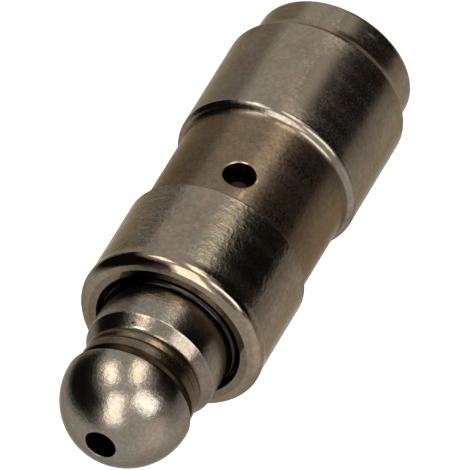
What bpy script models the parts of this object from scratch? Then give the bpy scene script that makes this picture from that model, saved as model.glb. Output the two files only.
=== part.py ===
"""Hydraulic valve lash adjuster of the pivot type, standing on its foot with the ball head up.

The housing is a turned cup with a wide oil groove round its middle. A two-piece piston slides in it: the
upper piston carries the ball head and the oil reservoir, the lower one the check valve. A return spring
under the lower piston pushes both up against a wire ring in the mouth of the bore.
"""

import math

import bmesh
import bpy
from mathutils import Matrix, Vector

# Driving dimensions, in metres

# Housing, from the foot up
HOUSING_RADIUS = 0.0060
FOOT_RELIEF = 0.00078
FOOT_HEIGHT = 0.00262
FOOT_ROUNDING = 0.00033
FOOT_CHAMFER_HEIGHT = 0.0005
LOWER_LAND_LENGTH = 0.00755
GROOVE_DEPTH = 0.00046
GROOVE_LENGTH = 0.00697
GROOVE_STEP_HEIGHT = 0.0004
UPPER_LAND_LENGTH = 0.00706
LIP_ROLL_WIDTH = 0.00072
LIP_ROLL_HEIGHT = 0.00062
LIP_BULGE = 0.00006
FLOOR_THICKNESS = 0.0026
FLOOR_CORNER = 0.0004

# Bore, its mouth and the oil feed hole
GROOVE_WALL = 0.00072
MOUTH_ROUNDING = 0.00028
FEED_HOLE_RADIUS = 0.0010
FEED_HOLE_BELOW_LAND = 0.00191
FEED_HOLE_CHAMFER = 0.0001

# Retaining ring, a round wire sprung into a groove of the bore
RING_WIRE = 0.0006
RING_BELOW_LIP = 0.0014
RING_STANDS_IN = 0.00034
RING_GAP_DEGREES = 24.0

# Fits
RUNNING_CLEARANCE = 0.00005
SEAT_GAP = 0.0001
BALL_SEAT_GAP = 0.00005

# Upper piston with the ball head
BALL_RADIUS = 0.00415
BALL_OIL_HOLE_RADIUS = 0.0010
BALL_HOLE_CHAMFER = 0.00006
BALL_RIM_LENGTH = 0.00005
NECK_COVE_DEPTH = 0.00041
NECK_COVE_LENGTH = 0.00045
NECK_BEAD_DEPTH = 0.00028
NECK_BEAD_LENGTH = 0.0004
NECK_RING_DEPTH = 0.00032
NECK_RING_LENGTH = 0.00043
NECK_SLOPE_LENGTH = 0.00025
NECK_FLARE_DEPTH = 0.00035
NECK_FLARE_LENGTH = 0.0008
SHAFT_MOUTH_GAP = 0.00057
SHAFT_STEP = 0.00007
SHAFT_STEP_ABOVE_GUIDE = 0.00171
SHAFT_LENGTH = 0.0045
GUIDE_BELOW_WAIST = 0.00143
GUIDE_CHAMFER = 0.0002
WAIST_LENGTH = 0.0028
WAIST_DEPTH = 0.0002
CROSS_HOLE_RADIUS = 0.0008
PISTON_WALL = 0.00115
RESERVOIR_BELOW_SHOULDER = 0.00358
DRILL_POINT_DEGREES = 118.0

# Lower piston with the valve seat
LOWER_PISTON_LENGTH = 0.0051
RECESS_WALL = 0.0008
RECESS_DEPTH = 0.0018
WEB_THICKNESS = 0.0009
SEAT_HOLE_RADIUS = 0.00095
SEAT_CHAMFER = 0.00025

# Check valve
CHECK_BALL_RADIUS = 0.0015
CAGE_SHEET = 0.0003
CAGE_SIDE_CLEARANCE = 0.0004
CAGE_FLOOR_BELOW_BALL = 0.0010
CAGE_FLOOR_HOLE_RADIUS = 0.0005
CAGE_WINDOWS = 3
CAGE_WINDOW_WIDTH = 0.0012
CAGE_WINDOW_HEIGHT = 0.0014
VALVE_SPRING_WIRE = 0.00022
VALVE_SPRING_RADIUS = 0.00085
VALVE_SPRING_TURNS = 3

# Return spring
RETURN_SPRING_WIRE = 0.0006
RETURN_SPRING_TURNS = 5
CLOSED_TURN_PITCH = 1.1

# Fineness of the facets
TURNED_STEPS = 48
SMALL_TURNED_STEPS = 24
COIL_POINTS_PER_TURN = 16
MERGE_DISTANCE = 0.000001

# Heights and radii that follow from the driving dimensions, measured from the foot's face
FOOT_RADIUS = HOUSING_RADIUS - FOOT_RELIEF
GROOVE_RADIUS = HOUSING_RADIUS - GROOVE_DEPTH
BORE_RADIUS = GROOVE_RADIUS - GROOVE_WALL
LOWER_LAND_BOTTOM = FOOT_HEIGHT + FOOT_CHAMFER_HEIGHT
LOWER_LAND_TOP = LOWER_LAND_BOTTOM + LOWER_LAND_LENGTH
GROOVE_BOTTOM = LOWER_LAND_TOP + GROOVE_STEP_HEIGHT
GROOVE_TOP = GROOVE_BOTTOM + GROOVE_LENGTH
UPPER_LAND_BOTTOM = GROOVE_TOP + GROOVE_STEP_HEIGHT
LIP_HEIGHT = UPPER_LAND_BOTTOM + UPPER_LAND_LENGTH
FEED_HOLE_HEIGHT = GROOVE_TOP - FEED_HOLE_BELOW_LAND

RING_HEIGHT = LIP_HEIGHT - RING_BELOW_LIP
RING_RADIUS = BORE_RADIUS - RING_STANDS_IN + RING_WIRE / 2
RING_GROOVE_RADIUS = RING_RADIUS + RING_WIRE / 2 + RUNNING_CLEARANCE

GUIDE_RADIUS = BORE_RADIUS - RUNNING_CLEARANCE
GUIDE_TOP = RING_HEIGHT - RING_WIRE / 2 - SEAT_GAP
WAIST_BOTTOM = FEED_HOLE_HEIGHT - WAIST_LENGTH / 2 - WAIST_DEPTH
GUIDE_BOTTOM = WAIST_BOTTOM - GUIDE_BELOW_WAIST
SHAFT_RADIUS = BORE_RADIUS - SHAFT_MOUTH_GAP
SHAFT_TOP = GUIDE_TOP + SHAFT_LENGTH
NECK_BANDS_LENGTH = NECK_COVE_LENGTH + NECK_BEAD_LENGTH + NECK_RING_LENGTH + 4.4 * NECK_SLOPE_LENGTH
NECK_LENGTH = BALL_RIM_LENGTH + NECK_BANDS_LENGTH + NECK_FLARE_LENGTH
BALL_HEIGHT = SHAFT_TOP + NECK_LENGTH
RESERVOIR_RADIUS = SHAFT_RADIUS - PISTON_WALL
RESERVOIR_TOP = SHAFT_TOP - RESERVOIR_BELOW_SHOULDER

LOWER_PISTON_TOP = GUIDE_BOTTOM - SEAT_GAP
LOWER_PISTON_BOTTOM = LOWER_PISTON_TOP - LOWER_PISTON_LENGTH
RECESS_RADIUS = GUIDE_RADIUS - RECESS_WALL
SEAT_HEIGHT = LOWER_PISTON_BOTTOM + RECESS_DEPTH

# A ball on a 45 degree cone: its centre lies below the cone's tip by its radius and gap times root two
SEAT_CONE_TIP = SEAT_HEIGHT + SEAT_HOLE_RADIUS + SEAT_CHAMFER
CHECK_BALL_HEIGHT = SEAT_CONE_TIP - math.sqrt(2) * (CHECK_BALL_RADIUS + BALL_SEAT_GAP)

CAGE_TOP = SEAT_HEIGHT - SEAT_GAP
CAGE_INNER_RADIUS = CHECK_BALL_RADIUS + CAGE_SIDE_CLEARANCE
CAGE_OUTER_RADIUS = CAGE_INNER_RADIUS + CAGE_SHEET
CAGE_FLANGE_RADIUS = RECESS_RADIUS - SEAT_GAP
CAGE_FLOOR_TOP = CHECK_BALL_HEIGHT - CHECK_BALL_RADIUS - CAGE_FLOOR_BELOW_BALL
RETURN_SPRING_RADIUS = (CAGE_OUTER_RADIUS + RECESS_RADIUS) / 2


def clear_scene():
    for old in list(bpy.data.objects):
        bpy.data.objects.remove(old, do_unlink=True)


def new_collection(name):
    collection = bpy.data.collections.new(name)
    bpy.context.scene.collection.children.link(collection)
    return collection


def steel(name, color, roughness):
    material = bpy.data.materials.new(name)
    material.use_nodes = True
    shader = material.node_tree.nodes["Principled BSDF"]
    shader.inputs["Base Color"].default_value = (*color, 1.0)
    shader.inputs["Roughness"].default_value = roughness
    shader.inputs["Metallic"].default_value = 1.0
    return material


def arc(center, radius, start_degrees, end_degrees, steps):
    """Points of a round stretch of a profile, as (radius, height) pairs."""
    points = []
    for i in range(steps + 1):
        angle = math.radians(start_degrees + (end_degrees - start_degrees) * i / steps)
        points.append((center[0] + radius * math.cos(angle), center[1] + radius * math.sin(angle)))
    return points


def turned(name, profile, collection, closed, steps=TURNED_STEPS):
    """A profile of (radius, height) pairs turned round Z. It runs down the outer side."""
    mesh = bpy.data.meshes.new(name)
    edges = [(i, i + 1) for i in range(len(profile) - 1)]
    if closed:
        edges.append((len(profile) - 1, 0))
    mesh.from_pydata([(radius, 0.0, height) for radius, height in profile], edges, [])
    obj = bpy.data.objects.new(name, mesh)
    collection.objects.link(obj)
    screw = obj.modifiers.new("Turn", "SCREW")
    screw.steps = steps
    screw.render_steps = steps
    screw.use_merge_vertices = True
    screw.merge_threshold = MERGE_DISTANCE
    return obj


def as_cutter(obj):
    obj.hide_render = True
    obj.display_type = "WIRE"
    return obj


def cut(obj, cutter):
    modifier = obj.modifiers.new("Cut " + cutter.name, "BOOLEAN")
    modifier.operation = "DIFFERENCE"
    modifier.solver = "EXACT"
    modifier.object = cutter


def finish(obj, material, height, rig):
    """Seat a piece at its height on the common axis, and give it its material."""
    obj.location.z = height
    obj.parent = rig
    obj.data.materials.clear()
    obj.data.materials.append(material)


def shade_round(obj):
    """Turn the modifiers into the mesh, smooth on round faces and sharp at the edges."""
    bpy.context.view_layer.update()
    evaluated = obj.evaluated_get(bpy.context.evaluated_depsgraph_get())
    mesh = bpy.data.meshes.new_from_object(evaluated)
    obj.modifiers.clear()
    obj.data = mesh
    mesh.shade_smooth()
    mesh.set_sharp_from_angle(angle=math.radians(30))


def radial_drill(name, radius, reach, countersink_at, chamfer, cutters):
    """A drill along local Z that widens by the chamfer where it leaves the wall."""
    profile = [
        (0.0, reach),
        (radius + chamfer + reach - countersink_at, reach),
        (radius, countersink_at - chamfer),
        (radius, 0.0),
        (0.0, 0.0),
    ]
    return as_cutter(turned(name, profile, cutters, closed=False, steps=SMALL_TURNED_STEPS))


def make_housing(collection, cutters, rig, material):
    bulge_radius = HOUSING_RADIUS + LIP_BULGE
    mouth_center = (BORE_RADIUS + MOUTH_ROUNDING, LIP_HEIGHT - MOUTH_ROUNDING)
    foot_center = (FOOT_RADIUS - FOOT_ROUNDING, FOOT_ROUNDING)
    ring_groove_half = RING_WIRE / 2 + RUNNING_CLEARANCE
    groove_lead = RING_GROOVE_RADIUS - BORE_RADIUS
    profile = [
        (0.0, FLOOR_THICKNESS),
        (BORE_RADIUS - FLOOR_CORNER, FLOOR_THICKNESS),
        (BORE_RADIUS, FLOOR_THICKNESS + FLOOR_CORNER),
        (BORE_RADIUS, RING_HEIGHT - ring_groove_half - groove_lead / 2),
        (RING_GROOVE_RADIUS, RING_HEIGHT - ring_groove_half),
        (RING_GROOVE_RADIUS, RING_HEIGHT + ring_groove_half),
        (BORE_RADIUS, RING_HEIGHT + ring_groove_half + groove_lead / 2),
    ]
    profile += arc(mouth_center, MOUTH_ROUNDING, 180, 90, 4)
    # The lip rolls over as a quarter of an ellipse
    for i in range(7):
        angle = math.pi / 2 * i / 6
        radius = bulge_radius - LIP_ROLL_WIDTH * (1 - math.sin(angle))
        profile.append((radius, LIP_HEIGHT - LIP_ROLL_HEIGHT * (1 - math.cos(angle))))
    profile += [
        (HOUSING_RADIUS, LIP_HEIGHT - 1.7 * LIP_ROLL_HEIGHT),
        (HOUSING_RADIUS, UPPER_LAND_BOTTOM),
        (GROOVE_RADIUS, GROOVE_TOP),
        (GROOVE_RADIUS, GROOVE_BOTTOM),
        (HOUSING_RADIUS, LOWER_LAND_TOP),
        (HOUSING_RADIUS, LOWER_LAND_BOTTOM),
        (FOOT_RADIUS, FOOT_HEIGHT),
    ]
    profile += arc(foot_center, FOOT_ROUNDING, 0, -90, 4)
    profile.append((0.0, 0.0))
    housing = turned("housing", profile, collection, closed=False)

    # The oil feed hole goes through one wall only, towards -Y, at the middle of the piston's waist
    drill = radial_drill(
        "feed_hole_drill", FEED_HOLE_RADIUS, HOUSING_RADIUS, GROOVE_RADIUS, FEED_HOLE_CHAMFER, cutters
    )
    drill.rotation_euler.x = math.radians(90)
    drill.location.z = FEED_HOLE_HEIGHT
    cut(housing, drill)
    shade_round(housing)
    finish(housing, material, 0.0, rig)


def make_retaining_ring(collection, rig, material):
    """Round wire bent to an open ring, its gap towards +Y, behind the feed hole."""
    half_gap = math.radians(RING_GAP_DEGREES / 2)
    points = []
    for i in range(TURNED_STEPS + 1):
        angle = math.radians(90) + half_gap + (2 * math.pi - 2 * half_gap) * i / TURNED_STEPS
        points.append((RING_RADIUS * math.cos(angle), RING_RADIUS * math.sin(angle), 0.0))
    ring = wire("retaining_ring", points, RING_WIRE, collection)
    finish(ring, material, RING_HEIGHT, rig)


def neck_profile():
    """The turned neck behind the ball, down to the shoulder of the shaft; heights are from the ball's centre."""
    cove_radius = BALL_RADIUS - NECK_COVE_DEPTH
    bead_radius = BALL_RADIUS - NECK_BEAD_DEPTH
    ring_radius = BALL_RADIUS - NECK_RING_DEPTH
    flare_radius = BALL_RADIUS - NECK_FLARE_DEPTH
    cove_bottom = -BALL_RIM_LENGTH - NECK_COVE_LENGTH
    bead_top = cove_bottom - NECK_SLOPE_LENGTH
    bead_bottom = bead_top - NECK_BEAD_LENGTH
    line = bead_bottom - NECK_SLOPE_LENGTH
    ring_top = line - NECK_SLOPE_LENGTH
    ring_bottom = ring_top - NECK_RING_LENGTH
    flare_top = NECK_FLARE_LENGTH - NECK_LENGTH
    flare_rise = SHAFT_RADIUS - flare_radius
    points = [
        (BALL_RADIUS, -BALL_RIM_LENGTH),
        (cove_radius, -BALL_RIM_LENGTH - 0.3 * NECK_SLOPE_LENGTH),
        (cove_radius, cove_bottom),
        (bead_radius, bead_top),
        (bead_radius, bead_bottom),
        (cove_radius, line),
        (ring_radius, ring_top),
        (ring_radius, ring_bottom),
        (cove_radius, ring_bottom - NECK_SLOPE_LENGTH),
        (flare_radius, flare_top),
    ]
    # The flare bows out to the shoulder, steeper at the neck than at its end
    flare_steps = 5
    for i in range(1, flare_steps + 1):
        way = i / flare_steps
        radius = flare_radius + flare_rise * (1.35 * way - 0.35 * way**2)
        points.append((radius, flare_top - NECK_FLARE_LENGTH * way))
    return points


def make_upper_piston(collection, cutters, rig, material):
    """Ball head, neck, shaft and guide in one piece. Its origin is the ball's centre."""
    hole_mouth = BALL_OIL_HOLE_RADIUS + BALL_HOLE_CHAMFER
    mouth_degrees = math.degrees(math.acos(hole_mouth / BALL_RADIUS))
    mouth_height = BALL_RADIUS * math.sin(math.radians(mouth_degrees))
    guide_top = GUIDE_TOP - BALL_HEIGHT
    guide_bottom = GUIDE_BOTTOM - BALL_HEIGHT
    step_height = guide_top + SHAFT_STEP_ABOVE_GUIDE
    waist_middle = FEED_HOLE_HEIGHT - BALL_HEIGHT
    waist_radius = GUIDE_RADIUS - WAIST_DEPTH
    half_waist = WAIST_LENGTH / 2
    reservoir_top = RESERVOIR_TOP - BALL_HEIGHT
    drill_point = (RESERVOIR_RADIUS - BALL_OIL_HOLE_RADIUS) / math.tan(math.radians(DRILL_POINT_DEGREES / 2))

    profile = [(BALL_OIL_HOLE_RADIUS, mouth_height - BALL_HOLE_CHAMFER)]
    profile += arc((0.0, 0.0), BALL_RADIUS, mouth_degrees, 0, 14)
    profile += neck_profile()
    profile += [
        (SHAFT_RADIUS, step_height),
        (SHAFT_RADIUS + SHAFT_STEP, step_height - SHAFT_STEP),
        (SHAFT_RADIUS + SHAFT_STEP, guide_top),
        (GUIDE_RADIUS - GUIDE_CHAMFER, guide_top),
        (GUIDE_RADIUS, guide_top - GUIDE_CHAMFER),
        (GUIDE_RADIUS, waist_middle + half_waist + WAIST_DEPTH),
        (waist_radius, waist_middle + half_waist),
        (waist_radius, waist_middle - half_waist),
        (GUIDE_RADIUS, WAIST_BOTTOM - BALL_HEIGHT),
        (GUIDE_RADIUS, guide_bottom + GUIDE_CHAMFER),
        (GUIDE_RADIUS - GUIDE_CHAMFER, guide_bottom),
        (RESERVOIR_RADIUS + GUIDE_CHAMFER, guide_bottom),
        (RESERVOIR_RADIUS, guide_bottom + GUIDE_CHAMFER),
        (RESERVOIR_RADIUS, reservoir_top),
        (BALL_OIL_HOLE_RADIUS, reservoir_top + drill_point),
    ]
    piston = turned("ball_head_piston", profile, collection, closed=True)

    # Two cross holes, a quarter turn from the feed hole, let the oil from the waist into the reservoir
    for side, degrees in (("right", 90), ("left", -90)):
        drill = radial_drill(
            "cross_drill_" + side, CROSS_HOLE_RADIUS, GUIDE_RADIUS, waist_radius, FEED_HOLE_CHAMFER, cutters
        )
        drill.rotation_euler.y = math.radians(degrees)
        drill.location.z = waist_middle
        cut(piston, drill)
    shade_round(piston)
    finish(piston, material, BALL_HEIGHT, rig)


def make_lower_piston(collection, rig, material):
    """A sleeve with a web, whose hole is the valve's seat. Its origin is the seat's face."""
    top = LOWER_PISTON_TOP - SEAT_HEIGHT
    bottom = LOWER_PISTON_BOTTOM - SEAT_HEIGHT
    profile = [
        (GUIDE_RADIUS - GUIDE_CHAMFER, top),
        (GUIDE_RADIUS, top - GUIDE_CHAMFER),
        (GUIDE_RADIUS, bottom + GUIDE_CHAMFER),
        (GUIDE_RADIUS - GUIDE_CHAMFER, bottom),
        (RECESS_RADIUS + GUIDE_CHAMFER, bottom),
        (RECESS_RADIUS, bottom + GUIDE_CHAMFER),
        (RECESS_RADIUS, 0.0),
        (SEAT_HOLE_RADIUS + SEAT_CHAMFER, 0.0),
        (SEAT_HOLE_RADIUS, SEAT_CHAMFER),
        (SEAT_HOLE_RADIUS, WEB_THICKNESS),
        (RESERVOIR_RADIUS, WEB_THICKNESS),
        (RESERVOIR_RADIUS, top - GUIDE_CHAMFER),
        (RESERVOIR_RADIUS + GUIDE_CHAMFER, top),
    ]
    piston = turned("lower_piston", profile, collection, closed=True)
    shade_round(piston)
    finish(piston, material, SEAT_HEIGHT, rig)


def make_check_ball(collection, rig, material):
    mesh = bpy.data.meshes.new("check_ball")
    ball = bmesh.new()
    bmesh.ops.create_uvsphere(ball, u_segments=SMALL_TURNED_STEPS, v_segments=16, radius=CHECK_BALL_RADIUS)
    ball.to_mesh(mesh)
    ball.free()
    mesh.shade_smooth()
    obj = bpy.data.objects.new("check_ball", mesh)
    collection.objects.link(obj)
    finish(obj, material, CHECK_BALL_HEIGHT, rig)


def make_valve_cage(collection, cutters, rig, material):
    """A drawn hat of thin sheet whose brim lies under the web and whose crown holds ball and spring."""
    floor = CAGE_FLOOR_TOP - CAGE_TOP
    corner = CAGE_SHEET / 2
    profile = [
        (CAGE_FLANGE_RADIUS, 0.0),
        (CAGE_FLANGE_RADIUS, -CAGE_SHEET),
        (CAGE_OUTER_RADIUS + corner, -CAGE_SHEET),
        (CAGE_OUTER_RADIUS, -CAGE_SHEET - corner),
        (CAGE_OUTER_RADIUS, floor - CAGE_SHEET + corner),
        (CAGE_OUTER_RADIUS - corner, floor - CAGE_SHEET),
        (CAGE_FLOOR_HOLE_RADIUS, floor - CAGE_SHEET),
        (CAGE_FLOOR_HOLE_RADIUS, floor),
        (CAGE_INNER_RADIUS, floor),
        (CAGE_INNER_RADIUS, -corner),
        (CAGE_INNER_RADIUS + corner, 0.0),
    ]
    cage = turned("valve_cage", profile, collection, closed=True)
    for i in range(CAGE_WINDOWS):
        angle = 2 * math.pi * i / CAGE_WINDOWS
        window = window_cutter(f"cage_window_{i + 1}", cutters)
        window.rotation_euler.z = angle
        window.location = Matrix.Rotation(angle, 3, "Z") @ Vector((CAGE_OUTER_RADIUS, 0.0, 0.0))
        window.location.z = (floor - CAGE_SHEET) / 2
        cut(cage, window)
    shade_round(cage)
    finish(cage, material, CAGE_TOP, rig)


def window_cutter(name, cutters):
    mesh = bpy.data.meshes.new(name)
    box = bmesh.new()
    bmesh.ops.create_cube(box, size=1.0)
    size = (3 * CAGE_SHEET, CAGE_WINDOW_WIDTH, CAGE_WINDOW_HEIGHT)
    bmesh.ops.scale(box, vec=size, verts=box.verts)
    box.to_mesh(mesh)
    box.free()
    obj = bpy.data.objects.new(name, mesh)
    cutters.objects.link(obj)
    return as_cutter(obj)


def wire(name, points, diameter, collection):
    """Round wire along the points, closed at its ends."""
    curve = bpy.data.curves.new(name, "CURVE")
    curve.dimensions = "3D"
    curve.bevel_depth = diameter / 2
    curve.bevel_resolution = 2
    curve.use_fill_caps = True
    spline = curve.splines.new("POLY")
    spline.points.add(len(points) - 1)
    for spline_point, (x, y, z) in zip(spline.points, points):
        spline_point.co = (x, y, z, 1.0)
    obj = bpy.data.objects.new(name, curve)
    collection.objects.link(obj)
    return obj


def coil_points(radius, bottom, top, turns, closed_pitch):
    """The centre line of a coil from bottom to top, with a closed turn at each end if closed_pitch is set."""
    count = turns * COIL_POINTS_PER_TURN
    open_pitch = (top - bottom - 2 * closed_pitch) / (turns - 2) if closed_pitch else (top - bottom) / turns
    points = []
    height = bottom
    for i in range(count + 1):
        angle = 2 * math.pi * i / COIL_POINTS_PER_TURN
        points.append((radius * math.cos(angle), radius * math.sin(angle), height))
        in_end_turn = i < COIL_POINTS_PER_TURN or i >= count - COIL_POINTS_PER_TURN
        pitch = closed_pitch if closed_pitch and in_end_turn else open_pitch
        height += pitch / COIL_POINTS_PER_TURN
    return points


def make_valve_spring(collection, rig, material):
    """A light coil between the cage's floor and the ball, which it touches on a ring below the ball's side."""
    half_wire = VALVE_SPRING_WIRE / 2
    reach = CHECK_BALL_RADIUS + half_wire + BALL_SEAT_GAP
    top = CHECK_BALL_HEIGHT - math.sqrt(reach**2 - VALVE_SPRING_RADIUS**2)
    bottom = CAGE_FLOOR_TOP + half_wire + BALL_SEAT_GAP
    points = coil_points(VALVE_SPRING_RADIUS, 0.0, top - bottom, VALVE_SPRING_TURNS, 0.0)
    spring = wire("valve_spring", points, VALVE_SPRING_WIRE, collection)
    finish(spring, material, bottom, rig)


def make_return_spring(collection, rig, material):
    """A coil from the housing's floor to the brim of the cage, round its crown."""
    half_wire = RETURN_SPRING_WIRE / 2
    bottom = FLOOR_THICKNESS + half_wire + SEAT_GAP
    top = CAGE_TOP - CAGE_SHEET - half_wire - SEAT_GAP
    closed_pitch = RETURN_SPRING_WIRE * CLOSED_TURN_PITCH
    points = coil_points(RETURN_SPRING_RADIUS, 0.0, top - bottom, RETURN_SPRING_TURNS, closed_pitch)
    spring = wire("return_spring", points, RETURN_SPRING_WIRE, collection)
    finish(spring, material, bottom, rig)


def main():
    clear_scene()
    collection = new_collection("Tappet")
    cutters = new_collection("Cutters")
    rig = bpy.data.objects.new("tappet_axis", None)
    collection.objects.link(rig)

    housing_steel = steel("Housing steel", (0.34, 0.31, 0.27), 0.38)
    piston_steel = steel("Piston steel", (0.36, 0.33, 0.29), 0.34)
    ball_steel = steel("Bearing steel", (0.55, 0.55, 0.56), 0.12)
    sheet_steel = steel("Sheet steel", (0.45, 0.44, 0.42), 0.32)
    spring_steel = steel("Spring steel", (0.30, 0.29, 0.28), 0.30)

    make_housing(collection, cutters, rig, housing_steel)
    make_retaining_ring(collection, rig, spring_steel)
    make_upper_piston(collection, cutters, rig, piston_steel)
    make_lower_piston(collection, rig, piston_steel)
    make_check_ball(collection, rig, ball_steel)
    make_valve_cage(collection, cutters, rig, sheet_steel)
    make_valve_spring(collection, rig, spring_steel)
    make_return_spring(collection, rig, spring_steel)


main()
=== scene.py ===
# A hydraulic tappet of turned steel on a white table: fine surfaces and ground-steel finishes for the
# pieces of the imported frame
import math

import bpy
import numpy as np
from mathutils import Matrix, Vector


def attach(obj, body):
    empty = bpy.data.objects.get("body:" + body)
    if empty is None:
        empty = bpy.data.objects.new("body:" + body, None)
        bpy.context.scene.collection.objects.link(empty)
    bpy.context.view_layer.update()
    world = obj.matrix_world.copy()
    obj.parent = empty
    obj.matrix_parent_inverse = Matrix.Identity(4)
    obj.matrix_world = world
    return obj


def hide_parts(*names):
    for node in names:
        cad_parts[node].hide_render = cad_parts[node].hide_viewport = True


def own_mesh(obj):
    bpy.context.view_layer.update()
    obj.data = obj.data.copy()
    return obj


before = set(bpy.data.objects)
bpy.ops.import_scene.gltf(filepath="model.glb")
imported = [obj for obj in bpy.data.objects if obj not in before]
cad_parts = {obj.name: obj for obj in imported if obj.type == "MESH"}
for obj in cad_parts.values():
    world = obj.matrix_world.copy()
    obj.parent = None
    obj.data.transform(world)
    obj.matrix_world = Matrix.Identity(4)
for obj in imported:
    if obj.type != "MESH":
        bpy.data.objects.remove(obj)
bpy.context.view_layer.update()
scene = bpy.context.scene
millimetre = 0.001
print("frame loaded:", ", ".join(sorted(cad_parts)))


# Nodes

def place(tree, kind, *values, **settings):
    # Adds a node; values fill its sockets in order, and a socket given as a value is linked
    node = tree.nodes.new(kind)
    for name, value in settings.items():
        setattr(node, name, value)
    for socket, value in zip(node.inputs, values):
        fill(tree, socket, value)
    return node


def fill(tree, socket, value):
    if isinstance(value, bpy.types.NodeSocket):
        tree.links.new(value, socket)
    elif value is not None:
        socket.default_value = value


def calc(tree, operation, *values):
    return place(tree, "ShaderNodeMath", *values, operation=operation).outputs[0]


def ramp(tree, value, low, high, outLow=0.0, outHigh=1.0):
    # Runs smoothly from outLow to outHigh while the value goes from low to high
    limits = (value, low, high, outLow, outHigh)
    return place(tree, "ShaderNodeMapRange", *limits, interpolation_type="SMOOTHSTEP").outputs[0]


def distance(tree, first, second):
    # Root of the sum of both squares
    squares = [calc(tree, "POWER", side, 2) for side in (first, second)]
    return calc(tree, "SQRT", calc(tree, "ADD", *squares))


def blendColour(tree, factor, first, second, mode="MIX"):
    node = tree.nodes.new("ShaderNodeMix")
    node.data_type = "RGBA"
    node.blend_type = mode
    fill(tree, node.inputs[0], factor)
    fill(tree, node.inputs[6], first)
    fill(tree, node.inputs[7], second)
    return node.outputs[2]


def noise(tree, vector, scale, detail=2.0, roughness=0.5):
    node = tree.nodes.new("ShaderNodeTexNoise")
    fill(tree, node.inputs["Vector"], vector)
    fill(tree, node.inputs["Scale"], scale)
    fill(tree, node.inputs["Detail"], detail)
    fill(tree, node.inputs["Roughness"], roughness)
    return node.outputs["Fac"]


def startGroup(name, inputs, outputs):
    # A shader node group; inputs and outputs are (name, kind, value) rows
    group = bpy.data.node_groups.new(name, "ShaderNodeTree")
    for label, kind, value in inputs:
        socket = group.interface.new_socket(label, in_out="INPUT", socket_type="NodeSocket" + kind)
        if value is not None:
            socket.default_value = value
    for label, kind in outputs:
        group.interface.new_socket(label, in_out="OUTPUT", socket_type="NodeSocket" + kind)
    entry = group.nodes.new("NodeGroupInput").outputs
    leave = group.nodes.new("NodeGroupOutput").inputs
    return group, entry, leave


def useGroup(tree, group, **values):
    node = tree.nodes.new("ShaderNodeGroup")
    node.node_tree = group
    for label, value in values.items():
        fill(tree, node.inputs[label], value)
    return node.outputs


# Camera

cameraView = {
    "lookAt": (-0.300, 0.077, 16.005),  # mm
    "compass": -104.461,  # degrees from +X, seen from above
    "elevation": 39.450,
    "distance": 696.600,  # mm
    "roll": 148.473,
    "lens": 870.26,  # mm on a sensor 36 mm wide
}


def aimCamera(view):
    compass = math.radians(view["compass"])
    height = math.radians(view["elevation"])
    roll = math.radians(view["roll"])
    level = math.cos(height)
    back = Vector((math.cos(compass) * level, math.sin(compass) * level, math.sin(height)))
    plainUp = (Vector((0, 0, 1)) - back * back.z).normalized()
    plainRight = plainUp.cross(back)
    up = math.cos(roll) * plainUp + math.sin(roll) * plainRight
    right = up.cross(back)
    turn = Matrix((right, up, back)).transposed().to_4x4()
    data = bpy.data.cameras.new("camera")
    data.lens = view["lens"]
    data.sensor_width = 36
    camera = bpy.data.objects.new("camera", data)
    scene.collection.objects.link(camera)
    stand = Vector(view["lookAt"]) + back * view["distance"]
    camera.matrix_world = Matrix.Translation(stand * millimetre) @ turn
    scene.camera = camera


aimCamera(cameraView)
print("camera aimed")


# Light: a white tent round the table, with soft windows, shades and dark screens

studio = {
    "tent": (1.0, 1.0, 1.0, 1.0),
    "panels": [
        # bearing clockwise from the camera and elevation of its middle, width, height, tilt and softness, all
        # in degrees; strength; colour. A later panel lies over the earlier ones
        ("right wall", 98, 22, 56, 36, 0, 26, 1.4, (1.0, 0.98, 0.97)),
        ("high left shade", -92, 60, 50, 30, 0, 24, 0.45, (1.0, 0.90, 0.92)),
        ("left screen", -98, 11, 60, 98, 8, 20, 0.015, (1.0, 0.86, 0.80)),
        ("far right shade", 76, -26, 34, 60, 0, 30, 0.50, (1.0, 0.95, 0.92)),
        ("right shade", 42, -16, 50, 44, 0, 24, 0.28, (1.0, 0.92, 0.88)),
        ("low screen", 35, -55, 50, 44, 0, 12, 0.012, (1.0, 0.88, 0.84)),
        ("right screen", 45.5, -27, 43, 50, 8, 9, 0.012, (1.0, 0.88, 0.84)),
        ("right edge shade", 61, 10, 9, 44, 0, 8, 0.40, (1.0, 0.92, 0.90)),
        ("tall window", -22, 61, 26.5, 50, 1, 9, 5.2, (1.0, 0.97, 0.94)),
        ("wide window", 31, 22, 40, 28, 13, 10, 5.4, (1.0, 1.0, 1.04)),
        ("left strip", -47, 3, 17, 36, 28, 9, 6.0, (1.0, 0.97, 0.86)),
        ("low strip", -8, -13, 18, 40, 15, 10, 6.0, (1.0, 0.96, 0.86)),
        ("back strip", 180, -34, 44, 18, 0, 14, 1.1, (1.0, 0.98, 0.95)),
    ],
}


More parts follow.
